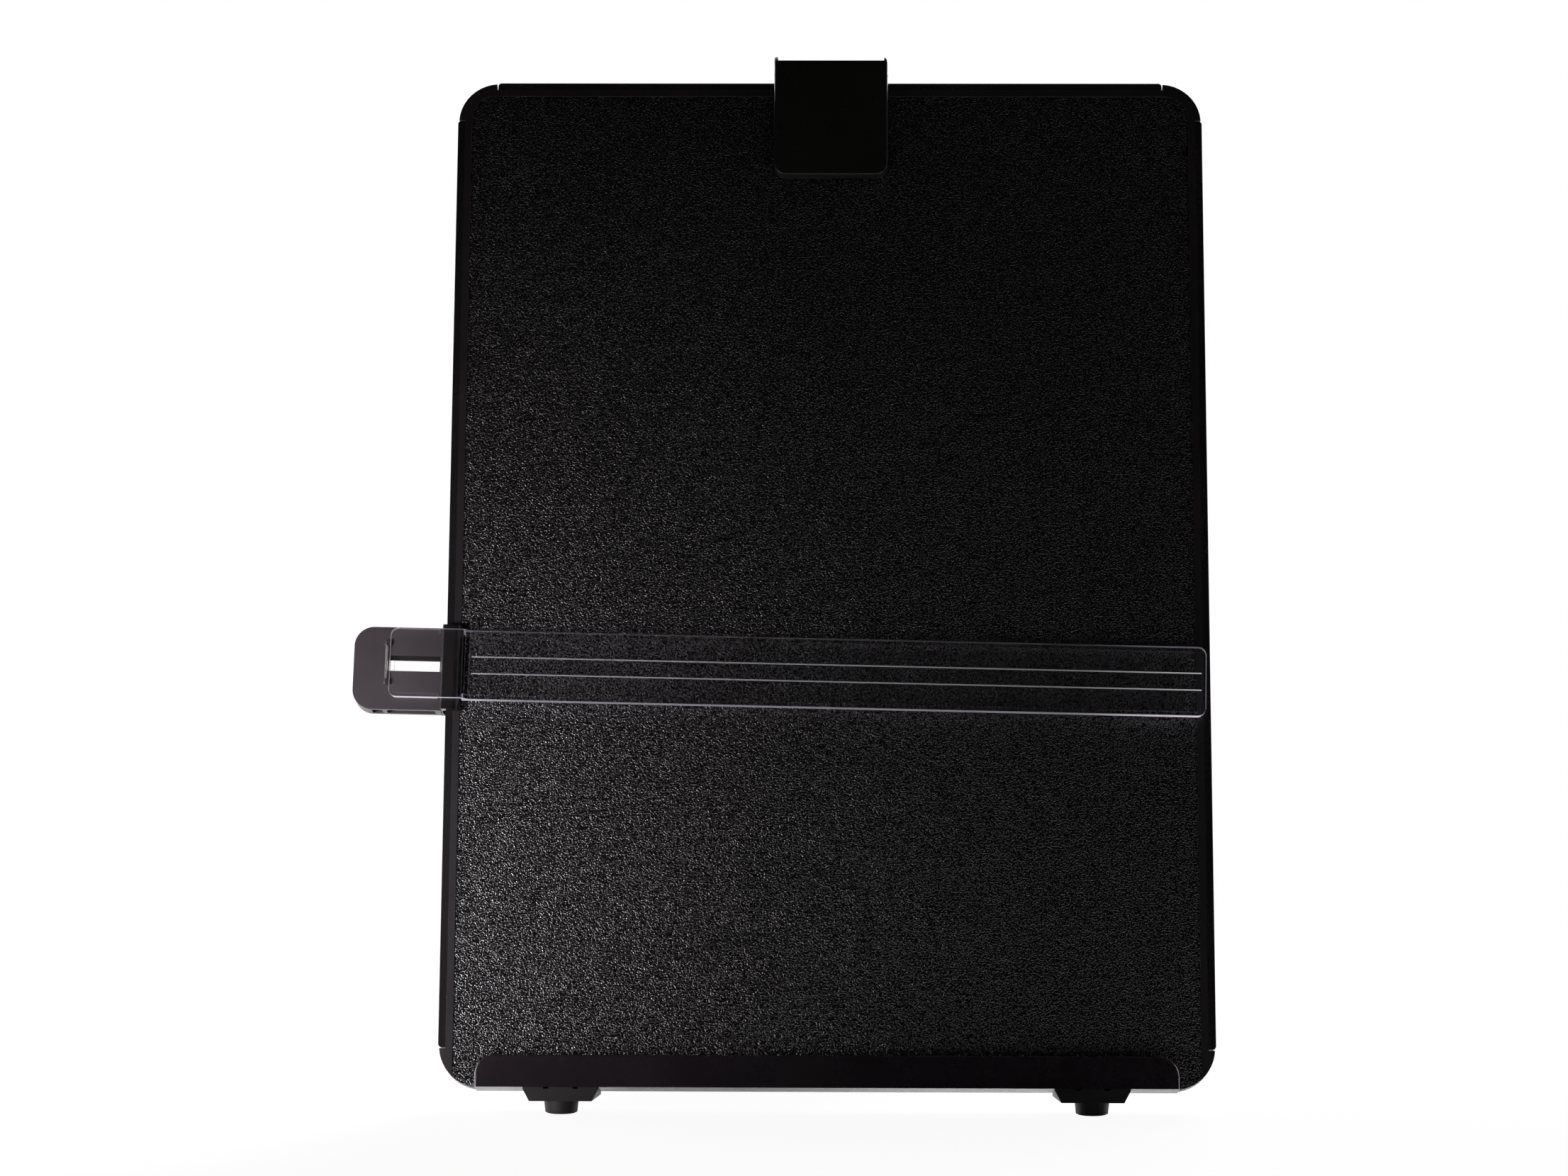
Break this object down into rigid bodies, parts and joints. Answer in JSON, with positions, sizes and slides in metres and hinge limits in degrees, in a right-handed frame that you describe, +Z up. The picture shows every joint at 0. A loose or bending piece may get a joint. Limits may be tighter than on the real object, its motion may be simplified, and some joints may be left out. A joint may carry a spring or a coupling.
{
  "type": "copy holder with line guide",
  "caption": "Leaning copy holder: grained panel on a folding easel leg, lower ledge, sprung paper clip sliding on the top edge, clear hinged line guide sliding on the side edge.",
  "frame": {"origin": "on the desk, under the middle of the object's bounding box, as it stands", "axes": "+Z up, the grained face and the line guide look towards -Y and lean back, +X to the right seen from the front; the slider is on the left edge"},
  "size_m": [0.2608, 0.1126, 0.3204],
  "materials": {
    "moulded_black": "matte",
    "grained_black": "fine leather grain, satin",
    "smooth_black": "smooth gloss",
    "slide_strip": "fine matte",
    "foot_rubber": "matte",
    "clear_plastic": "clear, polished",
    "zinc_steel": "zinc plated",
    "spring_steel": "bright drawn"
  },
  "bodies": {
    "board": {"board_panel": "grained_black", "side_rail_left": "slide_strip", "side_rail_right": "slide_strip", "top_rail": "slide_strip", "document_ledge": "smooth_black", "foot_bracket_left": "moulded_black", "foot_bracket_right": "moulded_black", "rubber_foot_left": "foot_rubber", "rubber_foot_right": "foot_rubber", "foot_bracket_screws": "zinc_steel", "hinge_bracket": "moulded_black", "hinge_bracket_screws": "zinc_steel", "easel_hinge_pin": "zinc_steel", "hinge_washers": "zinc_steel", "hinge_pin_rings": "spring_steel"},
    "easel": {"easel_leg": "moulded_black", "leg_foot_pads": "foot_rubber"},
    "clip_carriage": {"clip_saddle": "moulded_black", "clip_pin": "zinc_steel", "clip_spring": "spring_steel"},
    "clip_arm": {"clip_lever": "moulded_black", "clip_grip": "foot_rubber"},
    "guide_slider": {"slider_body": "moulded_black", "slider_leaf_spring": "spring_steel", "guide_hinge_pin": "zinc_steel"},
    "guide_bar": {"line_guide": "clear_plastic"}
  },
  "joints": [
    {"name": "easel_fold", "type": "hinge", "parent": "board", "child": "easel", "pos_m": [0.01408, 0.01688, 0.20912], "axis": [1, 0, 0], "range_deg": [-23.4, 0]},
    {"name": "clip_slide", "type": "slide", "parent": "board", "child": "clip_carriage", "axis": [1, 0, 0], "range_m": [-0.086, 0.086]},
    {"name": "clip_squeeze", "type": "hinge", "parent": "clip_carriage", "child": "clip_arm", "pos_m": [0.01453, 0.03505, 0.31494], "axis": [-1, 0, 0], "range_deg": [0, 25], "stiffness_Nm_per_rad": 0.12, "springref_deg": -28.65},
    {"name": "guide_slide", "type": "slide", "parent": "board", "child": "guide_slider", "axis": [0, 0.2504, 0.9681], "range_m": [-0.1, 0.144]},
    {"name": "guide_swing", "type": "hinge", "parent": "guide_slider", "child": "guide_bar", "pos_m": [-0.12022, -0.01989, 0.13185], "axis": [-0.0209, -0.2503, -0.9679], "range_deg": [0, 105]}
  ]
}
